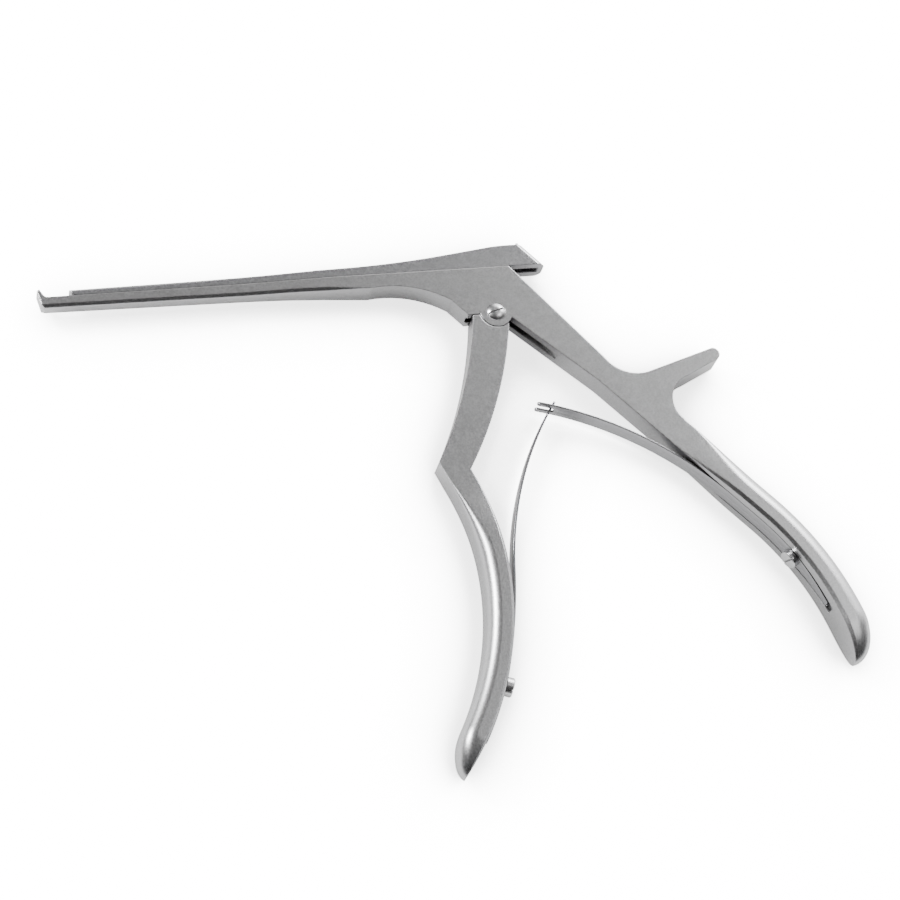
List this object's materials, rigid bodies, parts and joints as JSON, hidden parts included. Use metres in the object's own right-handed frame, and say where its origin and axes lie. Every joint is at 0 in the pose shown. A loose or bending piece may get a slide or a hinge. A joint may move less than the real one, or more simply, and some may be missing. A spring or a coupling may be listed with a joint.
{
  "type": "bone rongeur",
  "caption": "Up-cutting bone punch with a sliding upper shaft, upturned footplate, two curved grips, a thumb spur and crossed leaf springs.",
  "frame": {"origin": "on the pivot axis, in the plane of the frame's flat far side", "axes": "+X from the pivot towards the rear handle, the jaw lies at -X and the slide moves along X; +Y from the pivot up to the sliding plane; +Z along the pivot axis, up from the surface the instrument lies on"},
  "size_m": [0.2358, 0.1706, 0.0138],
  "materials": {
    "forged_steel": "satin, fine matt brushing",
    "spring_steel": "satin, rolled along the leaf",
    "screw_steel": "turned and polished"
  },
  "bodies": {
    "frame": {"body": "forged_steel", "pivot_screw": "screw_steel", "rear_spring": "spring_steel", "rear_spring_screw": "screw_steel"},
    "slide": {"upper_slide": "forged_steel", "slide_pin": "screw_steel"},
    "handle": {"front_handle": "forged_steel", "front_spring": "spring_steel", "front_spring_screw": "screw_steel"}
  },
  "joints": [
    {"name": "handle_pivot", "type": "hinge", "parent": "frame", "child": "handle", "pos_m": [0, 0, 0.004], "axis": [0, 0, 1], "range_deg": [0, 24.88], "stiffness_Nm_per_rad": 2.5, "springref_deg": -11.46, "deforming": ["rear_spring", "front_spring"]},
    {"name": "slide_travel", "type": "slide", "parent": "frame", "child": "slide", "axis": [-1, 0, 0], "range_m": [0, 0.0084]}
  ],
  "couplings": [
    {"joint": "slide_travel", "follows": "handle_pivot", "m_per_rad": 0.019344}
  ]
}
